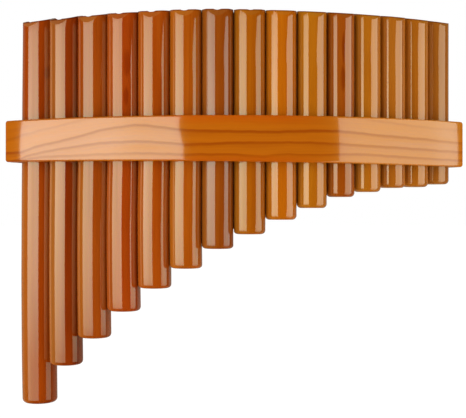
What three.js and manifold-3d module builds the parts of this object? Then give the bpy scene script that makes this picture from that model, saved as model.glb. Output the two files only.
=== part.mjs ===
import * as THREE from 'three';
import { mergeVertices } from 'three/addons/utils/BufferGeometryUtils.js';
import Module from 'manifold-3d';

// A curved pan flute: fifteen stopped bamboo pipes glued side by side along an arc and held in a
// wooden belt. Lengths are in millimetres. +Z points from the closed feet to the mouths, the convex
// side faces -Y, and the longest pipe is at -X.

const wasm = await Module();
wasm.setup();

// Pipes, from the longest to the shortest
const longestPipeLength = 226;
const widestPipeDiameter = 20.8;
const pipeLengthShares = [
	1, 0.895, 0.822, 0.752, 0.693, 0.643, 0.594, 0.558, 0.522, 0.493, 0.465, 0.452, 0.441, 0.438, 0.43,
];
const pipeDiameterShares = [
	1, 0.93, 0.93, 0.925, 0.92, 0.9, 0.875, 0.87, 0.86, 0.825, 0.78, 0.765, 0.76, 0.75, 0.735,
];
// Centre to centre, as shares of the widest diameter
const pipePitchShares = [
	0.96, 0.9, 0.885, 0.88, 0.87, 0.86, 0.86, 0.855, 0.86, 0.82, 0.8, 0.8, 0.795, 0.785,
];
const pipeWall = 2;
const footNodeThickness = 3;
const footRoundRadius = 2.5;
const rimSofteningSize = 0.4;

// Mouths: from a ridge between its two sides the rim slants down to the front and back lips, and
// each lip is bevelled. The drop and the bevel height are those at the outside of the pipe.
const mouthRidgeWidth = 0.8;
const mouthSlantDrop = 2.9;
const mouthSlantShares = [
	1, 1.15, 1.04, 0.74, 0.57, 0.47, 0.38, 0.41, 0.43, 0.49, 0.52, 0.53, 0.48, 0.54, 0.55,
];
const lipBevelHeight = 5.3;
const lipBevelWidth = 3.65;
const lipBevelShares = [
	1, 1.11, 1.14, 0.97, 0.92, 0.85, 0.84, 0.78, 0.73, 0.7, 0.71, 0.7, 0.66, 0.66, 0.66,
];

// The arc that the fronts of all the pipes touch
const frontArcRadius = 237;

// Stoppers: a major scale from the longest pipe up, in semitones above its note
const scaleSemitones = [ 0, 2, 4, 5, 7, 9, 11, 12, 14, 16, 17, 19, 21, 23, 24 ];
const semitonesPerOctave = 12;
const quarterWaveShare = 0.969;
const mouthCorrectionShare = 0.3;
const corkLength = 9;
const waxThickness = 2.5;
const waxDishDepth = 0.6;

// Belt
const bandDropBelowMouths = 60.1;
const bandHeightAtLongPipes = 24.3;
const bandHeightAtShortPipes = 26.9;
const frontBandThickness = 4.1;
const backBandThickness = 4;
const bandEdgeRoundRadius = 1.1;
const bandCornerRadius = 1.6;
const endBlockWidth = 2.9;
const endBlockEdgeSize = 0.8;

// Fits and facets
const gluedJointGap = 0.3;
const cutOverrun = 1;
const pipeSides = 24;
const footRoundSteps = 3;
const bandSteps = 32;
const bandEdgeSteps = 2;
const cornerSteps = 3;
const endBlockSteps = 2;

const lacquerLooks = {
	redBrown: { color: 0x8f3a08, roughness: 0.25 },
	chestnut: { color: 0x9c4a0e, roughness: 0.25 },
	amber: { color: 0xb5620f, roughness: 0.25 },
};
const pipeLooks = [
	'redBrown', 'redBrown', 'redBrown', 'redBrown', 'redBrown', 'chestnut', 'chestnut', 'amber',
	'amber', 'amber', 'chestnut', 'chestnut', 'chestnut', 'chestnut', 'amber',
];
const ashLook = { color: 0xc8640c, roughness: 0.3 };
const corkLook = { color: 0xb98a58, roughness: 0.9 };
const waxLook = { color: 0xd9a441, roughness: 0.5 };

const zAxis = new THREE.Vector3( 0, 0, 1 );
const group = new THREE.Group();

// A closed mesh with shared corners becomes a solid that can be cut
function toSolid( geometry ) {

	const bare = geometry.clone();
	bare.deleteAttribute( 'normal' );
	bare.deleteAttribute( 'uv' );
	const merged = mergeVertices( bare );
	const corners = [];

	for ( let i = 0; i < merged.index.count; i += 3 ) {

		const [ a, b, c ] = [ merged.index.getX( i ), merged.index.getX( i + 1 ), merged.index.getX( i + 2 ) ];
		if ( a !== b && b !== c && c !== a ) corners.push( a, b, c );

	}

	return new wasm.Manifold( new wasm.Mesh( {
		numProp: 3,
		vertProperties: new Float32Array( merged.attributes.position.array ),
		triVerts: new Uint32Array( corners ),
	} ) );

}

function addPiece( name, solid, look, x = 0, y = 0, z = 0 ) {

	const { vertProperties, triVerts } = solid.getMesh();
	const geometry = new THREE.BufferGeometry();
	geometry.setAttribute( 'position', new THREE.BufferAttribute( vertProperties, 3 ) );
	geometry.setIndex( new THREE.BufferAttribute( triVerts, 1 ) );
	geometry.computeVertexNormals();

	const mesh = new THREE.Mesh( geometry, new THREE.MeshStandardMaterial( { ...look, metalness: 0 } ) );
	mesh.name = name;
	mesh.position.set( x, y, z );
	group.add( mesh );

}

// Turns a profile of [ radius, height ] points about the +Z axis
function turn( profile ) {

	const points = profile.map( ( [ radius, height ] ) => new THREE.Vector2( radius, height ) );
	return toSolid( new THREE.LatheGeometry( points, pipeSides ).rotateX( Math.PI / 2 ) );

}

// A block whose near face lies in the plane through a point, and which fills the side that the
// normal points to
function blockBeyond( point, normal, size ) {

	const block = new THREE.BoxGeometry( size, size, size ).translate( 0, 0, size / 2 );
	block.applyQuaternion( new THREE.Quaternion().setFromUnitVectors( zAxis, normal ) );
	return toSolid( block.translate( point.x, point.y, point.z ) );

}

// Angles run along the arc from straight ahead (-Y), and grow towards +X
function outward( angle ) {

	return new THREE.Vector3( Math.sin( angle ), - Math.cos( angle ), 0 );

}

function arcPoints( radiusAt, fromAngle, toAngle, steps ) {

	const points = [];

	for ( let step = 0; step <= steps; step ++ ) {

		const angle = THREE.MathUtils.lerp( fromAngle, toAngle, step / steps );
		const place = outward( angle ).multiplyScalar( radiusAt( angle ) );
		points.push( new THREE.Vector2( place.x, place.y ) );

	}

	return points;

}

// The pipes stand on the inside of the front arc, each one pitch away from the one before it
function layOutPipes() {

	const pipes = [];

	for ( let i = 0; i < pipeLengthShares.length; i ++ ) {

		const radius = widestPipeDiameter * pipeDiameterShares[ i ] / 2;
		const axisRadius = frontArcRadius - radius;
		const pipe = {
			label: String( i + 1 ).padStart( 2, '0' ),
			length: longestPipeLength * pipeLengthShares[ i ],
			radius,
			axisRadius,
			boreRadius: radius - pipeWall,
			slantShare: mouthSlantShares[ i ],
			bevelShare: lipBevelShares[ i ],
			semitones: scaleSemitones[ i ],
			look: lacquerLooks[ pipeLooks[ i ] ],
			angle: 0,
			joints: [],
		};

		if ( i > 0 ) {

			const before = pipes[ i - 1 ];
			const pitch = widestPipeDiameter * pipePitchShares[ i - 1 ];
			const cosine = ( before.axisRadius ** 2 + axisRadius ** 2 - pitch ** 2 ) /
				( 2 * before.axisRadius * axisRadius );
			pipe.angle = before.angle + Math.acos( cosine );

		}

		pipes.push( pipe );

	}

	const [ first, last ] = [ pipes[ 0 ], pipes[ pipes.length - 1 ] ];
	const middle = ( sideAngle( first, - 1 ) + sideAngle( last, 1 ) ) / 2;
	for ( const pipe of pipes ) pipe.angle -= middle;
	for ( const pipe of pipes ) pipe.axis = outward( pipe.angle ).multiplyScalar( pipe.axisRadius );
	for ( let i = 1; i < pipes.length; i ++ ) planeJoint( pipes[ i - 1 ], pipes[ i ] );
	return pipes;

}

// The angle of the radial plane that touches a pipe's left (-1) or right (1) side
function sideAngle( pipe, side ) {

	return pipe.angle + side * Math.asin( pipe.radius / pipe.axisRadius );

}

// Two neighbours that stand closer than their widths are planed flat where they are glued
function planeJoint( left, right ) {

	const across = right.axis.clone().sub( left.axis );
	const room = across.length() - gluedJointGap;
	across.normalize();

	for ( const [ pipe, direction ] of [ [ left, across ], [ right, across.clone().negate() ] ] ) {

		const distance = room * pipe.radius / ( left.radius + right.radius );
		if ( distance < pipe.radius ) pipe.joints.push( { direction, distance } );

	}

}

function pipeProfile( pipe ) {

	const { radius, boreRadius, length } = pipe;
	const profile = [ [ 0, 0 ] ];

	for ( let step = 0; step <= footRoundSteps; step ++ ) {

		const turned = Math.PI / 2 * step / footRoundSteps;
		profile.push( [
			radius - footRoundRadius * ( 1 - Math.sin( turned ) ),
			footRoundRadius * ( 1 - Math.cos( turned ) ),
		] );

	}

	profile.push(
		[ radius, length - rimSofteningSize ],
		[ radius - rimSofteningSize, length ],
		[ boreRadius + rimSofteningSize, length ],
		[ boreRadius, length - rimSofteningSize ],
		[ boreRadius, footNodeThickness ],
		[ 0, footNodeThickness ],
	);
	return profile;

}

// A bamboo tube, closed by a node at its foot, with a slanted mouth and bevelled lips
function makePipe( pipe ) {

	let solid = turn( pipeProfile( pipe ) );

	for ( const { direction, distance } of pipe.joints ) {

		const onPlane = direction.clone().multiplyScalar( distance ).setZ( pipe.length / 2 );
		solid = solid.subtract( blockBeyond( onPlane, direction, pipe.length + 2 * cutOverrun ) );

	}

	const cuts = [
		{ drop: mouthSlantDrop * pipe.slantShare, run: pipe.radius - mouthRidgeWidth / 2 },
		{ drop: lipBevelHeight * pipe.bevelShare, run: lipBevelWidth * pipe.bevelShare },
	];

	for ( const side of [ 1, - 1 ] ) {

		const direction = outward( pipe.angle ).multiplyScalar( side );

		for ( const { drop, run } of cuts ) {

			const lip = direction.clone().multiplyScalar( pipe.radius ).setZ( pipe.length - drop );
			const normal = direction.clone().multiplyScalar( drop ).setZ( run ).normalize();
			solid = solid.subtract( blockBeyond( lip, normal, 4 * pipe.radius ) );

		}

	}

	addPiece( `pipe_${ pipe.label }`, solid, pipe.look, pipe.axis.x, pipe.axis.y, - pipe.length );

}

// A cork and a plug of wax set the length of the air column, and so the note
function makeStopper( pipe ) {

	const quarterWave = longestPipeLength * quarterWaveShare / 2 ** ( pipe.semitones / semitonesPerOctave );
	const airColumn = quarterWave - mouthCorrectionShare * 2 * pipe.boreRadius;
	const plugRadius = pipe.boreRadius - gluedJointGap;
	const corkTop = pipe.length - airColumn - waxThickness - gluedJointGap;
	const corkRoom = corkTop - footNodeThickness - gluedJointGap;
	const corkHeight = Math.min( corkLength, corkRoom );
	const { x, y } = pipe.axis;

	const cork = turn( [ [ 0, 0 ], [ plugRadius, 0 ], [ plugRadius, corkHeight ], [ 0, corkHeight ] ] );
	addPiece( `cork_stopper_${ pipe.label }`, cork, corkLook, x, y, corkTop - corkHeight - pipe.length );

	const dishFloor = waxThickness - waxDishDepth;
	const wax = turn( [ [ 0, 0 ], [ plugRadius, 0 ], [ plugRadius, waxThickness ], [ 0, dishFloor ] ] );
	addPiece( `tuning_wax_${ pipe.label }`, wax, waxLook, x, y, - airColumn - waxThickness );

}

// The belt's lower edge runs straight from the height at the long pipes to that at the short ones
function beltHeightAt( x, halfWidth ) {

	const share = ( x + halfWidth ) / ( 2 * halfWidth );
	return THREE.MathUtils.lerp( bandHeightAtLongPipes, bandHeightAtShortPipes, share );

}

// Raises a flat outline into a belt piece with rounded edges and the belt's sloping lower edge
function raiseBeltPiece( outline, edgeSize, edgeSteps, halfWidth ) {

	const blankHeight = bandHeightAtLongPipes;
	const geometry = new THREE.ExtrudeGeometry( new THREE.Shape( outline ), {
		depth: blankHeight - 2 * edgeSize,
		bevelThickness: edgeSize,
		bevelSize: edgeSize,
		bevelOffset: - edgeSize,
		bevelSegments: edgeSteps,
	} ).translate( 0, 0, edgeSize - blankHeight );
	const places = geometry.attributes.position;

	for ( let i = 0; i < places.count; i ++ ) {

		const height = beltHeightAt( places.getX( i ), halfWidth );
		places.setZ( i, places.getZ( i ) * height / blankHeight );

	}

	return toSolid( geometry );

}

// The rounded corner between the band's outer face and its end, at the end on the given side
function cornerPoints( faceRadius, endAngle, side ) {

	const centreRadius = faceRadius - bandCornerRadius;
	const centreAngle = endAngle - side * Math.asin( bandCornerRadius / centreRadius );
	const centre = outward( centreAngle ).multiplyScalar( centreRadius );
	const points = [];

	for ( let step = 0; step <= cornerSteps; step ++ ) {

		const share = side > 0 ? step / cornerSteps : 1 - step / cornerSteps;
		const turned = THREE.MathUtils.lerp( centreAngle, endAngle + side * Math.PI / 2, share );
		const place = outward( turned ).multiplyScalar( bandCornerRadius ).add( centre );
		points.push( new THREE.Vector2( place.x, place.y ) );

	}

	return points;

}

function makeFrontBand( endAngle, halfWidth ) {

	const innerRadius = frontArcRadius + gluedJointGap;
	const faceRadius = innerRadius + frontBandThickness;
	const cornerAngle = endAngle - Math.asin( bandCornerRadius / ( faceRadius - bandCornerRadius ) );
	const outline = [
		...cornerPoints( faceRadius, - endAngle, - 1 ),
		...arcPoints( () => faceRadius, - cornerAngle, cornerAngle, bandSteps ).slice( 1, - 1 ),
		...cornerPoints( faceRadius, endAngle, 1 ),
		...arcPoints( () => innerRadius, endAngle, - endAngle, bandSteps ),
	];
	const solid = raiseBeltPiece( outline, bandEdgeRoundRadius, bandEdgeSteps, halfWidth );
	addPiece( 'front_band', solid, ashLook, 0, 0, - bandDropBelowMouths );

}

// How deep the row of pipes is at an angle, for a strip that bridges from each deep pipe to the next
function rowDepthAt( pipes, angle ) {

	const [ first, last ] = [ pipes[ 0 ], pipes[ pipes.length - 1 ] ];
	const place = THREE.MathUtils.clamp( angle, first.angle, last.angle );
	let depth = 0;

	for ( const left of pipes.filter( ( pipe ) => pipe.angle <= place ) ) {

		for ( const right of pipes.filter( ( pipe ) => pipe.angle >= place ) ) {

			const span = right.angle - left.angle;
			const share = span > 0 ? ( place - left.angle ) / span : 0;
			depth = Math.max( depth, 2 * THREE.MathUtils.lerp( left.radius, right.radius, share ) );

		}

	}

	return depth;

}

function makeBackBand( pipes, endAngle, halfWidth ) {

	const seatRadius = ( angle ) => frontArcRadius - rowDepthAt( pipes, angle ) - gluedJointGap;
	const backRadius = ( angle ) => seatRadius( angle ) - backBandThickness;
	const outline = [
		...arcPoints( seatRadius, - endAngle, endAngle, bandSteps ),
		...arcPoints( backRadius, endAngle, - endAngle, bandSteps ),
	];
	const solid = raiseBeltPiece( outline, bandEdgeRoundRadius, bandEdgeSteps, halfWidth );
	addPiece( 'back_band', solid, ashLook, 0, 0, - bandDropBelowMouths );

}

// A block closes the belt between the two bands, beside an end pipe
function makeEndBlock( name, pipe, side, endAngle, halfWidth ) {

	const outerRadius = frontArcRadius;
	const innerRadius = frontArcRadius - 2 * pipe.radius;
	const pipeSide = side * sideAngle( pipe, side ) + gluedJointGap / pipe.axisRadius;
	const [ fromAngle, toAngle ] = side > 0 ? [ pipeSide, endAngle ] : [ - endAngle, - pipeSide ];
	const outline = [
		...arcPoints( () => outerRadius, fromAngle, toAngle, endBlockSteps ),
		...arcPoints( () => innerRadius, toAngle, fromAngle, endBlockSteps ),
	];
	const solid = raiseBeltPiece( outline, endBlockEdgeSize, 1, halfWidth );
	addPiece( name, solid, ashLook, 0, 0, - bandDropBelowMouths );

}

function makeBelt( pipes ) {

	const [ first, last ] = [ pipes[ 0 ], pipes[ pipes.length - 1 ] ];
	const endAngle = sideAngle( last, 1 ) + ( gluedJointGap + endBlockWidth ) / last.axisRadius;
	const halfWidth = frontArcRadius * Math.sin( endAngle );
	makeFrontBand( endAngle, halfWidth );
	makeBackBand( pipes, endAngle, halfWidth );
	makeEndBlock( 'end_block_left', first, - 1, endAngle, halfWidth );
	makeEndBlock( 'end_block_right', last, 1, endAngle, halfWidth );

}

const pipes = layOutPipes();
pipes.forEach( makePipe );
pipes.forEach( makeStopper );
makeBelt( pipes );

// The origin is the middle of the foot of the flute's bounding box
const bounds = new THREE.Box3().setFromObject( group );
const middle = bounds.getCenter( new THREE.Vector3() );
group.position.set( - middle.x, - middle.y, - bounds.min.z );

export default group;
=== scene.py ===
import math

import bmesh
import bpy
from bpy.props import FloatProperty, FloatVectorProperty, IntProperty, PointerProperty
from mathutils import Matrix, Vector


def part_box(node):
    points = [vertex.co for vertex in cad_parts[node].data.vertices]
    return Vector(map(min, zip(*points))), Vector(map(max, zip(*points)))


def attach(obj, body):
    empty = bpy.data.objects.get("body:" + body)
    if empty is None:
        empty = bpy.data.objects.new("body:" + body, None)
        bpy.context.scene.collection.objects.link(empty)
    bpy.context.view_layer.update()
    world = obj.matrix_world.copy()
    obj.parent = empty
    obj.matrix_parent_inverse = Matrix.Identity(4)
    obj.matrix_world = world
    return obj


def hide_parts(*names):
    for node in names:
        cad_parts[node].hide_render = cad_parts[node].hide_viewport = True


bl_info = {
    "name": "Curved Pan Flute",
    "version": (1, 0, 0),
    "blender": (4, 5, 0),
    "location": "3D View > Sidebar > Pan Flute",
    "description": "Models a curved pan flute of lacquered bamboo pipes in an ash belt",
    "category": "Object",
}

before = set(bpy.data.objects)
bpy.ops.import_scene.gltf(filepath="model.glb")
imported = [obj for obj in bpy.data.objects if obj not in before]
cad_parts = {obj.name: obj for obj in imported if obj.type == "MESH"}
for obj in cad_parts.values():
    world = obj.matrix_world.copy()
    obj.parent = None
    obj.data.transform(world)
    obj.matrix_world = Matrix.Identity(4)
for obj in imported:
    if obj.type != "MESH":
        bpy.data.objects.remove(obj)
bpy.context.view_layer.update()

# Places in the frame, in metres. +Z runs from the feet to the mouths and the convex side faces -Y.
PIPE_LABELS = [f"{number:02d}" for number in range(1, 16)]
BELT_LOW, BELT_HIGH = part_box("front_band")
FRONT_ARC_RADIUS = 0.237
FRONT_ARC_CENTRE = Vector((0, 0.2082853, 0))
GLUED_GAP = 0.0003
PIPE_WALL = 0.002
FOOT_NODE = 0.003

# The belt is bent from a blank of this height, and its lower edge is then sawn so that it falls
# slightly towards the short pipes. The slant is given as its sine.
BELT_BLANK = 0.0285
BELT_SLANT = 0.009788

# Points closer than the first length are one point. Places are compared to within the second.
SAME_POINT = 1e-6
NEAR = 1e-5
SMOOTH_ANGLE = math.radians(32)

# The mouths, from the longest pipe to the shortest, as shares of the slant and bevel in the settings
SLANT_SHARES = [1, 1.04, 0.8, 0.58, 0.4, 0.3, 0.22, 0.33, 0.43, 0.49, 0.52, 0.53, 0.48, 0.54, 0.55]
BEVEL_SHARES = [1, 1.11, 1.14, 0.97, 0.92, 0.85, 0.84, 0.78, 0.73, 0.7, 0.71, 0.7, 0.66, 0.66, 0.66]
BEVEL_WIDTHS = [1, 0.98, 0.86, 0.82, 0.78, 0.73, 0.7, 0.72, 0.71, 0.7, 0.71, 0.7, 0.66, 0.66, 0.66]

# How far the free ends of the longest pipes bow to the left below the belt, in millimetres
BOWS = [0.4, 0.5, 0.5, 0.5, 0.35, 0.25, 0.1]

# How much the longest pipe narrows on its free side: height, and the loss of width, in millimetres
NARROWING = [
    (0, 0.75), (12, 0.42), (30, 0.2), (47, 0.15), (70, 0), (137, 0),
    (176, 0.33), (191, 0.55), (203, 0.65), (212, 0.85), (230, 1.0)]


def plain(red, green, blue):
    """A colour given as it looks on a screen, 0 to 255, in the linear values that Blender keeps."""
    shares = [part / 255 for part in (red, green, blue)]
    return [share / 12.92 if share <= 0.04045 else ((share + 0.055) / 1.055) ** 2.4 for share in shares]


class PipeSettings(bpy.types.PropertyGroup):
    sides: IntProperty(name="Sides", description="Flat sides round each pipe", default=96, min=24)
    rings: IntProperty(name="Rings", description="Cuts along each pipe", default=24, min=1)
    foot_round: FloatProperty(
        name="Foot rounding", description="Radius of the rounded closed foot",
        default=0.0025, subtype="DISTANCE", unit="LENGTH")
    rim_round: FloatProperty(
        name="Rim softening", description="Rounding of the sanded edges of the mouth",
        default=0.0002, subtype="DISTANCE", unit="LENGTH")
    ridge: FloatProperty(
        name="Mouth ridge", description="Width of the ridge between the two slants of a mouth",
        default=0.0008, subtype="DISTANCE", unit="LENGTH")
    slant_drop: FloatProperty(
        name="Mouth slant", description="Drop of the mouth from its ridge to the outside of the longest pipe",
        default=0.0029, subtype="DISTANCE", unit="LENGTH")
    bevel_height: FloatProperty(
        name="Lip bevel height", description="Height of the bevel at the outside of the longest pipe",
        default=0.0053, subtype="DISTANCE", unit="LENGTH")
    bevel_width: FloatProperty(
        name="Lip bevel width", description="Width of that bevel where it would reach the ridge's height",
        default=0.00365, subtype="DISTANCE", unit="LENGTH")
    growth: FloatProperty(
        name="Growth waves", description="Depth of the natural waves of the bamboo",
        default=0.00008, subtype="DISTANCE", unit="LENGTH")
    lacquer_gloss: FloatProperty(
        name="Lacquer roughness", description="Roughness of the clear lacquer",
        default=0.05, subtype="FACTOR", min=0, max=1)


class BeltSettings(bpy.types.PropertyGroup):
    thickness: FloatProperty(
        name="Front thickness", description="Thickness of the front band",
        default=0.0041, subtype="DISTANCE", unit="LENGTH")
    back_thickness: FloatProperty(
        name="Back thickness", description="Thickness of the back band",
        default=0.004, subtype="DISTANCE", unit="LENGTH")
    edge_round: FloatProperty(
        name="Edge rounding", description="Rounding of the long edges",
        default=0.0011, subtype="DISTANCE", unit="LENGTH")
    corner_round: FloatProperty(
        name="Corner rounding", description="Rounding of the ends of the front band",
        default=0.0016, subtype="DISTANCE", unit="LENGTH")
    steps: IntProperty(name="Steps", description="Steps of the bend along the belt", default=96, min=8)
    ash: FloatVectorProperty(
        name="Lacquered ash", description="Colour of the stained wood between its grain lines",
        default=plain(206, 110, 11), subtype="COLOR", size=3, min=0, max=1)
    grain: FloatVectorProperty(
        name="Grain lines", description="Colour of the late wood",
        default=plain(168, 72, 4), subtype="COLOR", size=3, min=0, max=1)


class StageSettings(bpy.types.PropertyGroup):
    left_light: FloatProperty(
        name="Left softbox", description="Brightness of the left softbox", default=2.66, min=0)
    right_light: FloatProperty(
        name="Right softbox", description="Brightness of the right softbox", default=1.85, min=0)
    back_light: FloatProperty(
        name="Back softbox", description="Brightness of the softbox behind", default=0.9, min=0)
    fill: FloatProperty(name="Fill", description="Even light from all round", default=0.72, min=0)


# Shader maths


class Signal:
    """A socket of a node tree that takes part in Python arithmetic."""

    def __init__(self, tree, socket=None):
        self.tree = tree
        self.socket = socket

    def node(self, kind, settings=None, inputs=None, output=0):
        """Adds a node: its settings are set first, then the values or links of its sockets."""
        made = self.tree.nodes.new(kind)
        for name, value in (settings or {}).items():
            if name == "stops":
                ramp = made.color_ramp
                while len(ramp.elements) < len(value):
                    ramp.elements.new(0.5)
                for element, (place, colour) in zip(ramp.elements, value):
                    grey = isinstance(colour, float)
                    element.position = place
                    element.color = (colour, colour, colour, 1) if grey else (*colour, 1)
            elif name == "interpolation":
                made.color_ramp.interpolation = value
            else:
                setattr(made, name, value)
        for key, value in (inputs or {}).items():
            if isinstance(value, Signal):
                self.tree.links.new(value.socket, made.inputs[key])
            else:
                made.inputs[key].default_value = value
        return Signal(self.tree, made.outputs[output] if made.outputs else None)

    def maths(self, operation, *values):
        return self.node("ShaderNodeMath", {"operation": operation}, dict(enumerate(values)))

    def __add__(self, other):
        return self.maths("ADD", self, other)

    def __radd__(self, other):
        return self.maths("ADD", other, self)

    def __sub__(self, other):
        return self.maths("SUBTRACT", self, other)

    def __rsub__(self, other):
        return self.maths("SUBTRACT", other, self)

    def __mul__(self, other):
        return self.maths("MULTIPLY", self, other)

    def __rmul__(self, other):
        return self.maths("MULTIPLY", other, self)

    def __truediv__(self, other):
        return self.maths("DIVIDE", self, other)

    def __pow__(self, other):
        return self.maths("POWER", self, other)

    def parts(self):
        """The three parts of a place or direction: across, deep and high."""
        outputs = self.node("ShaderNodeSeparateXYZ", {}, {0: self}).socket.node.outputs
        return [Signal(self.tree, output) for output in outputs]

    def ramp(self, low, high):
        """0 below low, 1 above high, smooth in between."""
        return self.node(
            "ShaderNodeMapRange", {"interpolation_type": "SMOOTHSTEP", "clamp": True},
            {0: self, 1: low, 2: high, 3: 0.0, 4: 1.0})

    def coloured(self, *stops):
        """Reads this value on a scale of colours."""
        return self.node("ShaderNodeValToRGB", {"stops": stops}, {0: self})

    def blend(self, first, second):
        """Mixes two colours by this factor, through the sockets that a Mix node has for colours."""
        first, second = [
            colour if isinstance(colour, Signal) else (*colour, 1) for colour in (first, second)]
        return self.node("ShaderNodeMix", {"data_type": "RGBA"}, {0: self, 6: first, 7: second}, 2)

    def noise(self, scale, detail=2.0, stretch=(1, 1, 1), move=(0, 0, 0)):
        """Smooth noise of about -1 to 1 over this place, stretched along the axes."""
        place = self.node("ShaderNodeMapping", {}, {"Vector": self, "Location": move, "Scale": stretch})
        cloud = self.node("ShaderNodeTexNoise", {}, {"Vector": place, "Scale": scale, "Detail": detail})
        return (cloud - 0.5) * 2.6


def new_material(name):
    """An empty material and the signal that starts its nodes."""
    material = bpy.data.materials.new(name)
    material.use_nodes = True
    material.node_tree.nodes.clear()
    return material, Signal(material.node_tree)


def close_material(start, surface):
    start.node("ShaderNodeOutputMaterial", {}, {"Surface": surface})


def close_with_finish(start, sockets):
    """Ends a material with the shader that all solid finishes share."""
    close_material(start, start.node("ShaderNodeBsdfPrincipled", {}, sockets))


def object_place(start):
    """The place on the piece, in metres."""
    return start.node("ShaderNodeTexCoord", {}, {}, "Object")


def bump(start, height, distance, strength):
    return start.node("ShaderNodeBump", {}, {"Height": height, "Distance": distance, "Strength": strength})


# Materials

# Each pipe's stain: the colour of its wood under the lacquer
PIPE_STAINS = [
    (168, 66, 7), (150, 55, 8), (171, 75, 13), (174, 67, 10), (179, 77, 11),
    (188, 91, 14), (158, 74, 12), (182, 94, 9), (201, 104, 8), (194, 110, 14),
    (169, 79, 11), (195, 112, 21), (187, 104, 23), (189, 107, 23), (179, 103, 29),
]

# The warmth of the gleam from the wood below the lacquer
PIPE_GLEAMS = [
    (0.55, 0.8, 0.1, 1), (1, 0.9, 0.1, 1), (0.2, 0.6, 0.05, 1), (0.55, 0.75, 0.05, 1), (0.2, 0.7, 0.05, 1),
    (0, 0.6, 0.05, 1), (0, 0.3, 0.05, 1), *[(0.45, 0.7, 0.05, 1)] * 2, *[(0.9, 0.75, 0.05, 1)] * 6,
]

# How pale the sanded bevel of each pair of lips is
LIP_PALENESS = [0.8, 0.75, 0.55, 0.4, 0.3, 0.25, 0.2] + [0.15] * 8

# Painted light: how strongly the left side of each pipe, where light from the left falls, is painted paler
# and yellower, and how much more from the belt down
PAINTED_LEFT_LIGHT = [0, 0.75, 0, 0.26, 0.22, 0.22, 0.24, 0.24, 0.18, 0.18, 0.12, 0.09, 0.06, 0, 0]
PAINTED_LOW_LEFT_LIGHT = [0.6, 0.2, 0.4] + [0.06] * 12

# Painted shade: how much darker the right side of each pipe is painted towards the joint, where its neighbour
# shades it
PAINTED_JOINT_SHADE = [0.4, 0.75, 0.4, 0.45, 0.35, 0.3, 0.3] + [0.2] * 8

# Darker marks in the wood, by the number of the pipe: place along the row as a share of the pipe's radius,
# height in millimetres, and half the mark's width and height in the same units
MARKS = {
    1: [(0.9, 194, 0.07, 4)],
    4: [(0.5, 196, 0.22, 9), (0.45, 178, 0.16, 6)],
    11: [(-0.2, 187, 0.2, 8), (-0.15, 205, 0.14, 10)],
}


def directions(pipe):
    """Out from a pipe's axis through the middle of its front, and beside it along the row."""
    outward = (pipe["axis"] - FRONT_ARC_CENTRE).normalized()
    return outward, Vector((-outward.y, outward.x, 0))


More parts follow.
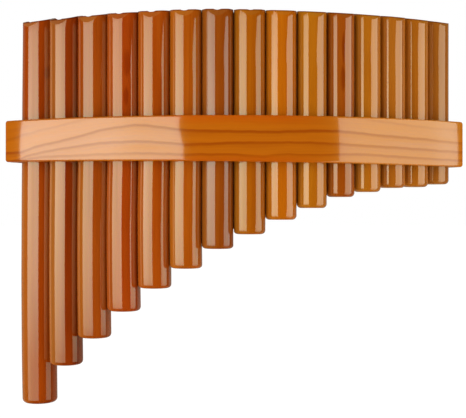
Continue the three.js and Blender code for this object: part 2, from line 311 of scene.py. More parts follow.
def lacquered_bamboo(index, pipe, settings):
    """Stained bamboo under clear lacquer, with fibres along the pipe and paler sanded lips, and painted light
    and shade on its sides and mouth.
    """
    material, start = new_material(f"lacquered_bamboo_{pipe['label']}")
    place = object_place(start)
    across, deep, high = place.parts()
    # How far a place lies from the pipe's axis towards the lips and along the row, and how high over each cut
    outward, beside = directions(pipe)
    away = start.maths(
        "ABSOLUTE", across * outward.x + deep * outward.y - pipe["axis"].dot(outward))
    side = (across * beside.x + deep * beside.y - pipe["axis"].dot(beside)) / pipe["radius"]
    over = [
        high - (pipe["mouth"] - drop + (pipe["radius"] - away) * (drop / run))
        for drop, run in mouth_cuts(index, pipe["radius"], settings)]
    number = index + 1
    shift = (0.37 * number, 0.19 * number, 0.11 * number)
    fibres = place.noise(1500, 2.0, (1, 1, 0.012), shift)
    strands = place.noise(420, 2.0, (1, 1, 0.02), shift)
    stripes = place.noise(170, 1.0, (1, 1, 0.03), shift)
    clouds = place.noise(52, 2.0, (1, 1, 0.22), shift)
    smears = place.noise(130, 2.0, (1, 1, 0.3), shift)
    wood = plain(*PIPE_STAINS[index])
    dark = [0.62 * wood[0], 0.42 * wood[1], 0.3 * wood[2]]
    pale = [min(1, 1.22 * wood[0]), min(1, 1.45 * wood[1]), min(1, 1.9 * wood[2])]
    tone = 0.5 + 0.1 * fibres + 0.12 * strands + 0.09 * stripes + 0.14 * clouds + 0.08 * smears
    for turn, height, width, length in MARKS.get(number, []):
        from_mark = ((side - turn) / width) ** 2 + ((high * 1000 - height) / length) ** 2
        tone = tone - 0.3 * (1 - (from_mark + 0.7 * smears).ramp(0.1, 1.2))
    colour = tone.coloured((0.1, dark), (0.5, wood), (0.9, pale))
    # Painted light: the left side of each pipe, where light from the left falls, is painted paler and
    # yellower
    uneven_side = side + 0.1 * stripes
    lit_side_from = math.sin(-math.atan2(outward.x, -outward.y) - 0.67)
    lit_colour = [min(1, 1.4 * wood[0] + 0.06), 2.2 * wood[1] + 0.07, 3 * wood[2] + 0.015]
    painted_light = PAINTED_LEFT_LIGHT[index] + PAINTED_LOW_LEFT_LIGHT[index] * (1 - high.ramp(0.12, 0.19))
    colour = (painted_light * (1 - uneven_side.ramp(lit_side_from - 0.25, lit_side_from + 0.7))).blend(colour, lit_colour)
    # Painted shade: the right side is painted darker towards the joint, where the neighbouring pipe shades it
    joint_shade_colour = [0.3 * wood[0], 0.2 * wood[1], 0.3 * wood[2]]
    colour = (PAINTED_JOINT_SHADE[index] * uneven_side.ramp(0.7, 1)).blend(colour, joint_shade_colour)
    lip = [min(1, 1.2 * wood[0] + 0.05), 1.85 * wood[1] + 0.06, 1.5 * wood[2] + 0.03]
    colour = (LIP_PALENESS[index] * over[1].ramp(-0.0003, -0.00005)).blend(colour, lip)
    # Painted shade: the slanted top of each mouth is darkened, standing in for the shadowed inner wall and
    # ridge seen from the front
    colour = (0.85 * over[0].ramp(-0.001, -0.0002)).blend(colour, [0.7 * part for part in dark])
    close_with_finish(start, {
        "Base Color": colour,
        "Roughness": 0.1 + 0.03 * strands,
        "IOR": 1.6,
        "Normal": bump(start, 0.7 * strands + 0.3 * fibres, 0.00006, 0.5),
        "Specular Tint": PIPE_GLEAMS[index],
        "Coat Weight": 0.85 + 0.17 * strands + 0.13 * stripes,
        "Coat Roughness": settings.lacquer_gloss,
        "Coat IOR": 1.8,
    })
    return material


def raw_bamboo():
    """The pale, unlacquered bore."""
    material, start = new_material("raw_bamboo_bore")
    place = object_place(start)
    fibres = place.noise(1200, 2.0, (1, 1, 0.02))
    soot = place.noise(90, 2.0, (1, 1, 0.3))
    tone = 0.5 + 0.2 * fibres + 0.2 * soot
    close_with_finish(start, {
        "Base Color": tone.coloured(
            (0.1, plain(150, 112, 66)), (0.5, plain(196, 158, 104)), (0.9, plain(222, 190, 138))),
        "Roughness": 0.62 + 0.08 * fibres,
        "Normal": bump(start, fibres, 0.00012, 0.6),
    })
    return material


# The dark growth lines on the belt: share of the way along it, and height in millimetres. The table spans
# this turn of the arc, in radians, and this range of heights, and the lines are this dark.
GRAIN_TURN = 1.2
GRAIN_FOOT, GRAIN_RANGE = 140, 30
GRAIN_DEPTHS = [0.95, 0.9, 0.8, 0.4]
GRAIN_LINES = [
    [(0.05, 147.0), (0.08, 149.8), (0.14, 152.9), (0.19, 155.6), (0.23, 158.3), (0.28, 160.6),
     (0.31, 161.1), (0.34, 160.2), (0.38, 158.2), (0.44, 157.2), (0.5, 156.7), (0.58, 156.7),
     (0.645, 157.9), (0.685, 157.6), (0.73, 157.3), (0.78, 155.7), (0.84, 155.2), (0.92, 154.2), (1, 153)],
    [(0.03, 142.0), (0.06, 144.8), (0.11, 147.4), (0.16, 149.2), (0.21, 150.6), (0.26, 151.6),
     (0.31, 151.9), (0.35, 151.2), (0.39, 149.9), (0.44, 149.8), (0.49, 150.7), (0.56, 150.7),
     (0.63, 151.4), (0.69, 150.5), (0.75, 149.9), (0.81, 149.3), (0.88, 148.7), (1, 147.8)],
    [(0.03, 142.0), (0.1, 144.5), (0.19, 144.5), (0.26, 144.9), (0.32, 145.4), (0.385, 144.2),
     (0.45, 144.3), (0.5, 144.2), (0.55, 142.7), (0.58, 144.7), (0.64, 143.9), (0.69, 144.6),
     (0.75, 145.3), (0.81, 144.2), (0.88, 143.5), (1, 143)],
    [(0, 154.0), (0.05, 156.7), (0.12, 160.8), (0.18, 163.8), (0.23, 166.7), (0.31, 169), (0.49, 169.6),
     (0.68, 169.2), (0.74, 165.5), (0.81, 163.1), (0.86, 162), (0.92, 161.1), (1, 161.2)],
]


def lacquered_ash(name, settings):
    """Bent ash, stained and lacquered, with its grain lines running along the belt."""
    material, start = new_material(name)
    across, deep, high = object_place(start).parts()
    inward = FRONT_ARC_CENTRE.y - deep
    angle = start.maths("ARCTAN2", across, inward)
    along = angle * FRONT_ARC_RADIUS
    reach = (across ** 2 + inward ** 2) ** 0.5
    unrolled = start.node("ShaderNodeCombineXYZ", {}, {0: along, 1: high, 2: reach})
    # Growth rings of a flat-sawn board: each line's height along the belt, and the wood that follows them
    share = angle / GRAIN_TURN + 0.5
    rise = (high - GRAIN_FOOT / 1000) / (GRAIN_RANGE / 1000) + 0.012 * unrolled.noise(120, 1.0, (1, 0.3, 1))
    rings = [
        share.node("ShaderNodeValToRGB", {
            "stops": [(way, (height - GRAIN_FOOT) / GRAIN_RANGE) for way, height in line],
            "interpolation": "B_SPLINE"}, {0: share})
        for line in GRAIN_LINES]
    lines = 0.0
    for ring, depth in zip(rings, GRAIN_DEPTHS):
        off = rise - ring
        # Late wood ends sharply above and fades slowly below
        fade = 0.72 * off.ramp(-0.055, -0.01) + 0.28 * off.ramp(-0.17, 0)
        lines = start.maths("MAXIMUM", lines, depth * (1 - off.ramp(0, 0.03)) * fade)
    flow = start.node("ShaderNodeCombineXYZ", {}, {
        0: along, 1: 0.03 * (rise - (rings[0] + rings[1] + rings[2]) / 3), 2: reach})
    fine = flow.noise(900, 3.0, (0.03, 1, 0.3))
    streaks = flow.noise(300, 2.0, (0.04, 1, 0.3), (5, 2, 1))
    pores = flow.noise(2600, 1.0, (0.05, 1, 1)).ramp(0.35, 1.0)
    patches = flow.noise(60, 2.0, (0.35, 1, 1))
    ripples = flow.noise(330, 2.0, (0.7, 1, 0.3), (2, 5, 1))
    tone = 0.72 * lines + 0.17 * fine + 0.17 * streaks + 0.1 * pores + 0.12 * patches
    # Towards the right the wood is paler, and the lacquer lies unevenly thick
    paler = along.ramp(0.04, 0.08)
    ash = paler.blend(settings.ash, plain(222, 130, 26))
    grain = paler.blend(settings.grain, plain(186, 92, 16))
    thinner = 0.18 * along.ramp(-0.075, -0.05) + 0.07 * paler - 0.17 * along.ramp(0.112, 0.128)
    colour = tone.ramp(-0.3, 0.95).blend(ash, grain)
    gold = flow.noise(28, 1.0, (0.4, 1.6, 1), (7, 1, 2)).ramp(0.1, 0.9)
    colour = (0.6 * gold).blend(colour, plain(218, 130, 18))
    centre = 1 - start.maths("ABSOLUTE", along).ramp(0.02, 0.06)
    flame = start.maths("MAXIMUM", rise.ramp(0.62, 0.84), 0.8 * (1 - rise.ramp(0.02, 0.16))) * centre
    colour = (0.55 * flame).blend(colour, plain(206, 80, 3))
    close_with_finish(start, {
        "Base Color": colour,
        "Roughness": 0.14 + 0.05 * fine,
        "Normal": bump(start, 0.4 * fine - 0.5 * lines + 0.06 * ripples, 0.00004, 0.4),
        "IOR": 1.55,
        "Specular Tint": (0.8, 1, 0.3, 1),
        "Coat Weight": 0.84 - thinner - 0.22 * lines + 0.12 * fine + 0.12 * streaks + 0.03 * ripples,
        "Coat Roughness": 0.06,
        "Coat IOR": 1.93,
    })
    return material


def cork_material():
    """Grains of pressed cork."""
    material, start = new_material("cork")
    place = object_place(start)
    cells = place.node("ShaderNodeTexVoronoi", {}, {"Vector": place, "Scale": 900.0})
    grains = place.noise(500, 3.0)
    tone = 0.45 + 0.3 * cells + 0.2 * grains
    close_with_finish(start, {
        "Base Color": tone.coloured(
            (0.1, plain(112, 74, 40)), (0.5, plain(178, 130, 84)), (0.9, plain(206, 164, 116))),
        "Roughness": 0.85 + 0.1 * grains,
        "Normal": bump(start, cells + grains, 0.0002, 0.7),
    })
    return material


def wax_material():
    """Cloudy beeswax, dented where it was pressed down."""
    material, start = new_material("tuning_wax")
    place = object_place(start)
    clouds = place.noise(260, 2.0)
    presses = place.noise(700, 1.0)
    close_with_finish(start, {
        "Base Color": (0.5 + 0.4 * clouds).blend(plain(196, 138, 46), plain(226, 178, 84)),
        "Roughness": 0.42 + 0.08 * presses,
        "Normal": bump(start, presses, 0.0002, 0.6),
    })
    return material


def glue_material():
    """Dark glue that ran down the joints as it set."""
    material, start = new_material("dark_glue")
    place = object_place(start)
    drips = place.noise(240, 2.0, (1, 1, 0.3))
    grit = place.noise(1400, 2.0)
    close_with_finish(start, {
        "Base Color": (0.5 + 0.4 * drips).blend(plain(58, 24, 6), plain(92, 42, 12)),
        "Roughness": 0.45 + 0.1 * drips,
        "Normal": bump(start, drips + 0.3 * grit, 0.00008, 0.6),
    })
    return material


# Modelling


def begin(add, stretch=(1, 1, 1), **sizes):
    """Adds a primitive at its size and place, and moves its place into its mesh."""
    bpy.ops.object.select_all(action="DESELECT")
    add(**sizes)
    piece = bpy.context.object
    piece.scale = stretch
    bpy.ops.object.transform_apply(location=True, rotation=True, scale=True)
    return piece


def shaping(piece):
    """Opens a piece for shaping in edit mode."""
    bpy.context.view_layer.objects.active = piece
    bpy.ops.object.mode_set(mode="EDIT")


def pick(piece, kind, wanted):
    """Selects the faces, edges or corners that pass a test of place, and stops if there are none."""
    bpy.ops.mesh.select_mode(type=kind)
    bpy.ops.mesh.select_all(action="DESELECT")
    mesh = bmesh.from_edit_mesh(piece.data)
    items = {"FACE": mesh.faces, "EDGE": mesh.edges, "VERT": mesh.verts}[kind]
    found = [item for item in items if wanted(item)]
    if not found:
        raise RuntimeError(f"{piece.name}: nothing to shape where {kind.lower()}s were expected")
    for item in found:
        item.select_set(True)
    mesh.select_flush_mode()
    bmesh.update_edit_mesh(piece.data)


def cut_away(point, normal):
    """Saws off what lies beyond a plane and closes the cut."""
    bpy.ops.mesh.select_all(action="SELECT")
    bpy.ops.mesh.bisect(
        plane_co=point, plane_no=normal, use_fill=True, clear_inner=False, clear_outer=True,
        threshold=SAME_POINT)


def round_picked(size, segments, clamp=False):
    """Rounds the edges that are picked."""
    bpy.ops.mesh.bevel(
        offset=size, segments=segments, profile=0.5, affect="EDGES", clamp_overlap=clamp)


def middle(edge):
    return (edge.verts[0].co + edge.verts[1].co) / 2


def run_of(edge):
    return edge.verts[1].co - edge.verts[0].co


def is_level(edge):
    return abs(run_of(edge).z) < SAME_POINT


def is_upright(edge):
    """Whether an edge climbs more than a centimetre, as only the long edges of a piece do."""
    return abs(run_of(edge).z) > 0.01


def turns_from(edge, direction):
    """Whether the surface turns at an edge from facing along a direction to facing across it."""
    facing = sorted(abs(face.normal.dot(direction)) for face in edge.link_faces)
    return len(facing) == 2 and facing[0] < 0.5 and facing[1] > 0.9


def dress(piece, name, materials, node=None):
    """Closes a piece: tidy mesh, smooth shading, materials, and its ties to the frame."""
    bpy.ops.mesh.select_all(action="SELECT")
    bpy.ops.mesh.remove_doubles(threshold=SAME_POINT)
    bpy.ops.mesh.normals_make_consistent(inside=False)
    # A short block with many small bevel faces can come out of that inside out
    if bmesh.from_edit_mesh(piece.data).calc_volume(signed=True) < 0:
        bpy.ops.mesh.flip_normals()
    bpy.ops.object.mode_set(mode="OBJECT")
    piece.name = name
    piece.data.name = name
    for material in materials:
        piece.data.materials.append(material)
    bpy.ops.object.select_all(action="DESELECT")
    piece.select_set(True)
    bpy.context.view_layer.objects.active = piece
    bpy.ops.object.shade_smooth_by_angle(angle=SMOOTH_ANGLE)
    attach(piece, "root")
    if node:
        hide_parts(node)


def pipe_facts():
    """Where each pipe stands, read from its round wax plug and its own box."""
    facts = []
    for label in PIPE_LABELS:
        low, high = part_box(f"tuning_wax_{label}")
        foot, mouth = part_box(f"pipe_{label}")
        bore = (high.x - low.x) / 2 + GLUED_GAP
        facts.append({
            "label": label,
            "axis": Vector(((low.x + high.x) / 2, (low.y + high.y) / 2, 0)),
            "bore": bore,
            "radius": bore + PIPE_WALL,
            "foot": foot.z,
            "mouth": mouth.z,
        })
    return facts


def add_growth_waves(piece, depth):
    """Lets the wall sink and rise slightly, as grown bamboo does."""
    bpy.ops.object.mode_set(mode="OBJECT")
    texture = bpy.data.textures.new("growth_waves", "CLOUDS")
    texture.noise_scale = 0.03
    texture.noise_depth = 0
    waves = piece.modifiers.new("Growth waves", "DISPLACE")
    waves.texture = texture
    waves.texture_coords = "LOCAL"
    waves.mid_level = 1.0
    waves.strength = depth
    bpy.ops.object.modifier_apply(modifier=waves.name)
    bpy.data.textures.remove(texture)
    shaping(piece)


def plane_joints(piece, index, pipes):
    """Planes a pipe flat where it is glued to a neighbour that stands closer than their widths."""
    pipe = pipes[index]
    for other in (index - 1, index + 1):
        if not 0 <= other < len(pipes):
            continue
        across = pipes[other]["axis"] - pipe["axis"]
        room = (across.length - GLUED_GAP) * pipe["radius"] / (pipe["radius"] + pipes[other]["radius"])
        if room < pipe["radius"]:
            across.normalize()
            cut_away(pipe["axis"] + across * room, across)


def on_scale(scale, place):
    """Reads a table of places and values, in a straight line between its rows."""
    for (low, first), (high, last) in zip(scale, scale[1:]):
        if place <= high:
            share = max(0, (place - low) / (high - low))
            return first + (last - first) * share
    return scale[-1][1]


def lean(index, pipes, height):
    """How far the outside of a pipe has moved to the left at a height, by its natural bow."""
    foot = pipes[index]["foot"]
    if index >= len(BOWS) or not foot < height < BELT_LOW.z:
        return 0
    return BOWS[index] / 1000 * math.sin(math.pi * (height - foot) / (BELT_LOW.z - foot))


def grow_outside(piece, index, pipes):
    """Gives the outside of a pipe its bow, and narrows the longest pipe on its free side."""
    pipe = pipes[index]
    beside = directions(pipe)[1]
    outside_from = pipe["bore"] + 0.0003
    bpy.ops.object.mode_set(mode="OBJECT")
    for corner in piece.data.vertices:
        if (corner.co - pipe["axis"]).xy.length < outside_from:
            continue
        corner.co -= beside * lean(index, pipes, corner.co.z)
        if index == 0:
            left = 0.5 - (corner.co - pipe["axis"]).dot(beside) / (2 * pipe["radius"])
            corner.co += beside * left * on_scale(NARROWING, corner.co.z * 1000) / 1000
    shaping(piece)


def mouth_cuts(index, radius, settings):
    """The slant and the lip bevel of a mouth: drop at the outside of the pipe, and run to full height."""
    return [
        (settings.slant_drop * SLANT_SHARES[index], radius - settings.ridge / 2),
        (settings.bevel_height * BEVEL_SHARES[index], settings.bevel_width * BEVEL_WIDTHS[index]),
    ]


def model_pipe(index, pipes, settings):
    """A bamboo tube closed at its foot, with a rounded foot, a slanted mouth and bevelled lips."""
    pipe = pipes[index]
    axis, radius, foot, mouth = pipe["axis"], pipe["radius"], pipe["foot"], pipe["mouth"]
    piece = begin(
        bpy.ops.mesh.primitive_cylinder_add, vertices=settings.sides, radius=radius,
        depth=mouth - foot, location=(axis.x, axis.y, (mouth + foot) / 2))
    shaping(piece)
    pick(piece, "FACE", lambda face: face.normal.z > 0.9)
    bpy.ops.mesh.inset(thickness=PIPE_WALL)
    bpy.ops.mesh.extrude_region_move(
        TRANSFORM_OT_translate={"value": (0, 0, foot + FOOT_NODE - mouth)})
    pick(piece, "EDGE", is_upright)
    bpy.ops.mesh.subdivide(number_cuts=settings.rings)
    pick(piece, "EDGE", lambda edge: max(v.co.z for v in edge.verts) < foot + NEAR)
    round_picked(settings.foot_round, 7)
    add_growth_waves(piece, settings.growth)
    plane_joints(piece, index, pipes)
    grow_outside(piece, index, pipes)
    outward = directions(pipe)[0]
    cuts = mouth_cuts(index, radius, settings)
    for drop, run in cuts:
        for side in (1, -1):
            lip = axis + outward * radius * side + Vector((0, 0, mouth - drop))
            cut_away(lip, (outward * drop * side + Vector((0, 0, run))).normalized())
    # The cuts leave slivers at the lips, which go before the sharp edges there are sanded round
    lips_from = mouth - cuts[1][0] - 0.001
    sliver, sharp = 0.00012, math.radians(24)
    pick(piece, "VERT", lambda corner: corner.co.z > lips_from)
    bpy.ops.mesh.remove_doubles(threshold=sliver)
    pick(piece, "EDGE", lambda edge: min(v.co.z for v in edge.verts) > lips_from
         and edge.is_manifold and edge.calc_face_angle() > sharp
         and abs(run_of(edge).z) < 0.95 * edge.calc_length())
    round_picked(settings.rim_round, 2, clamp=True)
    return piece


def is_in_bore(face, pipe):
    place = face.calc_center_median()
    return (place - pipe["axis"]).xy.length < pipe["bore"] + NEAR and place.z > pipe["foot"] + NEAR


class PANFLUTE_OT_pipes(bpy.types.Operator):
    """Model the fifteen bamboo pipes, each at its place in the row"""
    bl_idname = "panflute.pipes"
    bl_label = "Bamboo Pipes"

    def execute(self, context):
        settings = context.scene.panflute_pipes
        pipes = pipe_facts()
        bore = raw_bamboo()
        for index, pipe in enumerate(pipes):
            piece = model_pipe(index, pipes, settings)
            piece.data.materials.append(lacquered_bamboo(index, pipe, settings))
            piece.data.materials.append(bore)
            piece.active_material_index = 1
            pick(piece, "FACE", lambda face: is_in_bore(face, pipe))
            bpy.ops.object.material_slot_assign()
            label = pipe["label"]
            dress(piece, f"bamboo_pipe_{label}", [], f"pipe_{label}")
        return {"FINISHED"}


class PANFLUTE_OT_glue_lines(bpy.types.Operator):
    """Run a line of dark glue down each joint between two pipes"""
    bl_idname = "panflute.glue_lines"
    bl_label = "Glue Lines"

    def execute(self, context):
        pipes = pipe_facts()
        glue = glue_material()
        # A line keeps this clear of the pipes, starts over the shorter pipe's foot and ends under its mouth.
        # It is deeper where the pipes are planed.
        clear, over_foot, under_mouth = 0.00002, 0.003, 0.0015
        planed_depth, round_depth = 0.003, 0.002
        for index, (left, right) in enumerate(zip(pipes, pipes[1:])):
            across = right["axis"] - left["axis"]
            direction = across.normalized()
            planed = across.length - GLUED_GAP < left["radius"] + right["radius"]
            gap = GLUED_GAP if planed else across.length - left["radius"] - right["radius"]
            from_left = left["radius"] * (across.length - gap) / (left["radius"] + right["radius"])
            joint = left["axis"] + direction * (from_left + gap / 2)
            low, high = right["foot"] + over_foot, right["mouth"] - under_mouth
            piece = begin(
                bpy.ops.mesh.primitive_cube_add, size=1,
                stretch=(gap - 2 * clear, planed_depth if planed else round_depth, high - low),
                rotation=(0, 0, math.atan2(across.y, across.x)),
                location=(joint.x, joint.y, (low + high) / 2))
            shaping(piece)
            pick(piece, "EDGE", is_upright)
            bpy.ops.mesh.subdivide(number_cuts=24)
            bpy.ops.object.mode_set(mode="OBJECT")
            for corner in piece.data.vertices:
                beside_left = (corner.co - joint).dot(direction) < 0
                corner.co -= direction * lean(index if beside_left else index + 1, pipes, corner.co.z)
            shaping(piece)
            # The long edges of its two ends
            pick(piece, "EDGE", lambda edge: is_level(edge)
                 and min(abs(middle(edge).z - end) for end in (low, high)) < NEAR
                 and run_of(edge).length > 0.001)
            round_picked(0.0001, 2)
            dress(piece, f"glue_line_{left['label']}_{right['label']}", [glue])
        return {"FINISHED"}


def model_plug(node):
    """A round plug at its place in a bore, open for shaping: its piece, its radius, and its ends."""
    low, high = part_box(node)
    radius = (high.x - low.x) / 2
    piece = begin(
        bpy.ops.mesh.primitive_cylinder_add, vertices=64, radius=radius, depth=high.z - low.z,
        location=((low.x + high.x) / 2, (low.y + high.y) / 2, (low.z + high.z) / 2))
    shaping(piece)
    return piece, radius, low.z, high.z


class PANFLUTE_OT_stoppers(bpy.types.Operator):
    """Model the cork stoppers at the feet of the air columns"""
    bl_idname = "panflute.stoppers"
    bl_label = "Cork Stoppers"

    def execute(self, context):
        cork = cork_material()
        for label in PIPE_LABELS:
            piece, radius, foot, top = model_plug(f"cork_stopper_{label}")
            pick(piece, "EDGE", is_level)
            round_picked(min(0.0006, 0.2 * (top - foot)), 3)
            pick(piece, "FACE", lambda face: face.normal.z > 0.9)
            bpy.ops.mesh.inset(thickness=0.3 * radius)
            dress(piece, f"cork_plug_{label}", [cork], f"cork_stopper_{label}")
        return {"FINISHED"}


class PANFLUTE_OT_waxes(bpy.types.Operator):
    """Model the plugs of tuning wax pressed onto the corks"""
    bl_idname = "panflute.waxes"
    bl_label = "Tuning Wax"

    def execute(self, context):
        wax = wax_material()
        for label in PIPE_LABELS:
            piece, radius, foot, top = model_plug(f"tuning_wax_{label}")
            pick(piece, "EDGE", lambda edge: max(v.co.z for v in edge.verts) < foot + SAME_POINT)
            round_picked(0.0003, 2)
            # The top sinks towards its middle, in smaller and smaller steps
            pick(piece, "FACE", lambda face: face.normal.z > 0.9)
            for sink in (0.00022, 0.0002, 0.00012, 0.00006):
                bpy.ops.mesh.inset(thickness=0.22 * radius)
                bpy.ops.transform.translate(value=(0, 0, -sink))
            dress(piece, f"wax_plug_{label}", [wax], f"tuning_wax_{label}")
        return {"FINISHED"}


def arc_direction(angle):
    """The way outwards at an angle along the arc, which grows towards the short pipes."""
    return Vector((math.sin(angle), -math.cos(angle), 0))


def from_arc(point):
    """The distance of a point from the arc's axis, and its angle along the arc."""
    flat = (point - FRONT_ARC_CENTRE).xy
    return flat.length, math.atan2(flat.x, -flat.y)


def bend_strip(inner, outer, from_angle, to_angle, steps):
    """Bends a blank of wood round the row, by spinning a standing face about the arc, and saws it below."""
    place = FRONT_ARC_CENTRE + arc_direction(from_angle) * (inner + outer) / 2
    piece = begin(
        bpy.ops.mesh.primitive_plane_add, size=1, stretch=(outer - inner, BELT_BLANK, 1),
        rotation=(math.pi / 2, 0, from_angle - math.pi / 2),
        location=(place.x, place.y, BELT_HIGH.z - BELT_BLANK / 2))
    shaping(piece)
    bpy.ops.mesh.select_all(action="SELECT")
    bpy.ops.mesh.spin(
        steps=steps, angle=from_angle - to_angle, center=FRONT_ARC_CENTRE, axis=(0, 0, 1))
    bpy.ops.mesh.select_all(action="SELECT")
    bpy.ops.mesh.remove_doubles(threshold=SAME_POINT)
    bpy.ops.mesh.normals_make_consistent(inside=False)
    slope = math.tan(math.asin(BELT_SLANT))
    lower_edge_at_middle = Vector((0, 0, BELT_LOW.z + slope * BELT_HIGH.x))
    cut_away(lower_edge_at_middle, Vector((-slope, 0, -1)).normalized())
    return piece


def band_end_angle():
    """Half the angle that the front band spans, a hair inside its inner corner in the frame."""
    inner = FRONT_ARC_RADIUS + GLUED_GAP
    return math.acos((FRONT_ARC_CENTRE.y - BELT_HIGH.y) / inner) - 1e-5


def round_long_edges(piece, size, segments):
    """Rounds every edge between the top or the bottom and the upright faces."""
    pick(piece, "EDGE", lambda edge: turns_from(edge, Vector((0, 0, 1))))
    round_picked(size, segments)


class PANFLUTE_OT_front_band(bpy.types.Operator):
    """Bend and round the wide front band of the belt"""
    bl_idname = "panflute.front_band"
    bl_label = "Front Band"

    def execute(self, context):
        settings = context.scene.panflute_belt
        inner = FRONT_ARC_RADIUS + GLUED_GAP
        # The band ends a little short of its corners in the frame, in radians, so that its ends stay inside
        end = band_end_angle() - 0.001
        piece = bend_strip(inner, inner + settings.thickness, -end, end, settings.steps)
        # The corners as seen from the front, then the whole rim of the front face and of the back
        slack = 1e-4
        pick(piece, "EDGE", lambda edge: abs(run_of(edge).z) < slack
             and run_of(edge).length > 0.9 * settings.thickness
             and abs(from_arc(middle(edge))[1]) > end - slack)
        round_picked(settings.corner_round, 6)
        pick(piece, "EDGE", lambda edge: turns_from(edge, arc_direction(from_arc(middle(edge))[1])))
        round_picked(settings.edge_round, 5)
        ash = lacquered_ash("lacquered_ash_front", settings)
        dress(piece, "belt_front_band", [ash], "front_band")
        return {"FINISHED"}


class PANFLUTE_OT_back_band(bpy.types.Operator):
    """Bend the narrow back band against the backs of the pipes"""
    bl_idname = "panflute.back_band"
    bl_label = "Back Band"

    def execute(self, context):
        settings = context.scene.panflute_belt
        pipes = pipe_facts()
        end = band_end_angle()
        base = FRONT_ARC_RADIUS - 2 * pipes[0]["radius"] - GLUED_GAP
        piece = bend_strip(base - settings.back_thickness, base, -end, end, settings.steps)
        bpy.ops.object.mode_set(mode="OBJECT")
        for corner in piece.data.vertices:
            angle = from_arc(corner.co)[1]
            seat = FRONT_ARC_RADIUS - row_depth(pipes, angle) - GLUED_GAP
            corner.co += arc_direction(angle) * (seat - base)
        shaping(piece)
        round_long_edges(piece, settings.edge_round, 5)
        ash = lacquered_ash("lacquered_ash_back", settings)
        dress(piece, "belt_back_band", [ash], "back_band")
        return {"FINISHED"}


def row_depth(pipes, angle):
    """How deep the row is at an angle, for a strip that bridges from each deep pipe to the next."""
    angles = [from_arc(pipe["axis"])[1] for pipe in pipes]
    place = min(max(angle, angles[0]), angles[-1])
    depth = 0
    for left, left_angle in zip(pipes, angles):
        for right, right_angle in zip(pipes, angles):
            if left_angle <= place <= right_angle:
                span = right_angle - left_angle
                share = (place - left_angle) / span if span > 0 else 0
                depth = max(depth, 2 * (left["radius"] * (1 - share) + right["radius"] * share))
    return depth


class PANFLUTE_OT_end_blocks(bpy.types.Operator):
    """Shape the two blocks that close the ends of the belt"""
    bl_idname = "panflute.end_blocks"
    bl_label = "End Blocks"

    def execute(self, context):
        settings = context.scene.panflute_belt
        pipes = pipe_facts()
        end = band_end_angle()
        ash = lacquered_ash("lacquered_ash_ends", settings)
        edge_round, segments, slack = 0.0008, 4, 1e-4
        for node, pipe, side in (("end_block_left", pipes[0], -1), ("end_block_right", pipes[-1], 1)):
            reach, angle = from_arc(pipe["axis"])
            beside = abs(angle) + math.asin(pipe["radius"] / reach) + GLUED_GAP / reach
            angles = sorted((side * beside, side * end))
            piece = bend_strip(
                FRONT_ARC_RADIUS - 2 * pipe["radius"], FRONT_ARC_RADIUS, *angles, 4)
            pick(piece, "EDGE", lambda edge: is_upright(edge)
                 and min(abs(from_arc(middle(edge))[1] - turn) for turn in angles) < slack)
            round_picked(edge_round, segments)
            round_long_edges(piece, edge_round, segments)
            dress(piece, f"belt_{node}", [ash], node)
        return {"FINISHED"}


# Stage


def place_camera():
    """The photograph's camera: level, a little to the left of the flute's middle."""
    sensor = 36                                # millimetres
    focal_length, picture_width = 1000, 466    # pixels of the photograph
    data = bpy.data.cameras.new("Camera")
    data.sensor_width = sensor
    data.lens = sensor * focal_length / picture_width
    data.clip_start = 0.01
    data.clip_end = 50
    camera = bpy.data.objects.new("Camera", data)
    camera.location = (-0.0178, -0.5824, 0.1141)
    camera.rotation_euler = (math.pi / 2, 0, math.radians(-1.578))
    bpy.context.scene.collection.objects.link(camera)
    bpy.context.scene.camera = camera


def softbox(name, outline, strength, falloff=0.57):
    """A standing panel that glows on the side of the flute and that the camera looks through."""
    mesh = bpy.data.meshes.new(name)
    mesh.from_pydata(outline, [], [list(range(len(outline)))])
    panel = bpy.data.objects.new(name, mesh)
    bpy.context.scene.collection.objects.link(panel)
    material, start = new_material(name)
    # The lamp inside stands at this height, so the glow falls off above and below, but never under this share
    lamp, reach, least = 0.16, 0.17, 0.42
    high = object_place(start).parts()[2]
    even = strength * (1 - falloff * ((high - lamp) / reach) ** 2)
    diffuse = start.node("ShaderNodeLightPath", {}, {}, "Is Diffuse Ray")
    glow = start.node("ShaderNodeEmission", {}, {
        "Color": (1, 0.98, 0.95, 1),
        "Strength": start.maths("MAXIMUM", even, least * strength) * (1 - 0.5 * diffuse)})
    clear = start.node("ShaderNodeBsdfTransparent")
    behind = start.node("ShaderNodeNewGeometry", {}, {}, "Backfacing")
    close_material(start, start.node("ShaderNodeMixShader", {}, {0: behind, 1: glow, 2: clear}))
    mesh.materials.append(material)
    panel.visible_camera = False
    panel.visible_shadow = False


def pale_floor():
    """A white floor that keeps a faint shadow, and that no light or gloss is lost behind."""
    floor = begin(bpy.ops.mesh.primitive_plane_add, size=12, location=(0, 0, -0.00005))
    floor.name = "floor"
    material, start = new_material("pale_floor")
    speckle = object_place(start).noise(40, 2.0)
    paint = start.node("ShaderNodeBsdfDiffuse", {}, {"Color": (0.5 + 0.1 * speckle).blend(
        (0.86, 0.86, 0.86), (0.9, 0.9, 0.9))})
    white = start.node("ShaderNodeEmission", {}, {"Strength": 1.08})
    seen = start.node("ShaderNodeLightPath", {}, {}, "Is Camera Ray")
    close_material(start, start.node("ShaderNodeMixShader", {}, {0: 0.92 * seen, 1: paint, 2: white}))
    floor.data.materials.append(material)
    floor.visible_glossy = False
    floor.visible_shadow = False


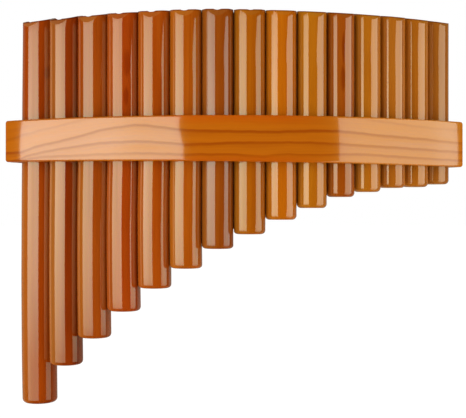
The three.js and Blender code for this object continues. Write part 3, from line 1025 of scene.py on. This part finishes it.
def studio_world(settings):
    """White behind the flute for the camera and for gloss, and a dim even fill elsewhere."""
    world = bpy.data.worlds.new("studio")
    world.use_nodes = True
    world.node_tree.nodes.clear()
    start = Signal(world.node_tree)
    seen, glossy, through = [
        start.node("ShaderNodeLightPath", {}, {}, f"Is {kind} Ray")
        for kind in ("Camera", "Glossy", "Transmission")]
    deep = start.node("ShaderNodeTexCoord", {}, {}, "Generated").parts()[1]
    behind = 0.2 * deep.ramp(0.15, 0.5) * start.maths("MAXIMUM", glossy, through)
    fill = settings.fill * (1 - glossy)
    strength = start.maths("MAXIMUM", seen, behind + fill)
    glow = start.node("ShaderNodeBackground", {}, {
        "Color": glossy.blend((1, 1, 1), (1, 0.86, 0.66)), "Strength": strength})
    start.node("ShaderNodeOutputWorld", {}, {"Surface": glow})
    bpy.context.scene.world = world


class PANFLUTE_OT_stage(bpy.types.Operator):
    """Set up the camera, the softboxes, the white floor and the background"""
    bl_idname = "panflute.stage"
    bl_label = "Camera and Studio"

    def execute(self, context):
        settings = context.scene.panflute_stage
        place_camera()
        pale_floor()
        # The near edge of each panel shows as the edge of the gleams on the lacquer. On the left it stands
        # further out over the mouths, and on the right beside the belt.
        edge, high_edge, far = (-0.099, -0.278), (-0.107, -0.274), (-0.45, -0.096)
        softbox("softbox_left", [
            (*edge, 0.15), (*edge, -0.1), (*far, -0.1), (*far, 0.34), (*high_edge, 0.34), (*high_edge, 0.2)],
            settings.left_light)
        edge, belt_edge, shoulder, far = (0.167, -0.205), (0.171, -0.19), (0.183, -0.145), (0.219, -0.009)
        softbox("softbox_right", [
            (*edge, -0.1), (*edge, 0.1), (*belt_edge, 0.105), (*belt_edge, 0.225), (*edge, 0.23),
            (*edge, 0.24), (*shoulder, 0.264), (*far, 0.272), (*far, -0.1)], settings.right_light)
        softbox("softbox_behind", [
            (-0.5, 0.75, 0.35), (-0.5, 0.35, 0.85), (0.5, 0.35, 0.85), (0.5, 0.75, 0.35)],
            settings.back_light, falloff=0)
        studio_world(settings)
        context.scene.view_settings.view_transform = "Standard"
        return {"FINISHED"}


class PANFLUTE_PT_sidebar(bpy.types.Panel):
    """The pieces of the pan flute, in the order in which they are made"""
    bl_idname = "PANFLUTE_PT_sidebar"
    bl_label = "Pan Flute"
    bl_space_type = "VIEW_3D"
    bl_region_type = "UI"
    bl_category = "Pan Flute"

    def draw(self, context):
        for operator in MAKING_ORDER:
            self.layout.operator(operator.bl_idname)
        for group in ("panflute_pipes", "panflute_belt", "panflute_stage"):
            settings = getattr(context.scene, group)
            box = self.layout.box()
            for name in settings.__annotations__:
                box.prop(settings, name)


MAKING_ORDER = [
    PANFLUTE_OT_stage, PANFLUTE_OT_pipes, PANFLUTE_OT_glue_lines, PANFLUTE_OT_stoppers, PANFLUTE_OT_waxes,
    PANFLUTE_OT_front_band, PANFLUTE_OT_back_band, PANFLUTE_OT_end_blocks,
]
SETTINGS = {
    "panflute_pipes": PipeSettings, "panflute_belt": BeltSettings, "panflute_stage": StageSettings,
}
CLASSES = [*SETTINGS.values(), *MAKING_ORDER, PANFLUTE_PT_sidebar]


def register():
    for item in CLASSES:
        bpy.utils.register_class(item)
    for name, group in SETTINGS.items():
        setattr(bpy.types.Scene, name, PointerProperty(type=group))


def unregister():
    for name in SETTINGS:
        delattr(bpy.types.Scene, name)
    for item in reversed(CLASSES):
        bpy.utils.unregister_class(item)


def main():
    register()
    bpy.ops.panflute.stage()
    bpy.ops.panflute.pipes()
    bpy.ops.panflute.glue_lines()
    bpy.ops.panflute.stoppers()
    bpy.ops.panflute.waxes()
    bpy.ops.panflute.front_band()
    bpy.ops.panflute.back_band()
    bpy.ops.panflute.end_blocks()


if __name__ == "__main__":
    main()
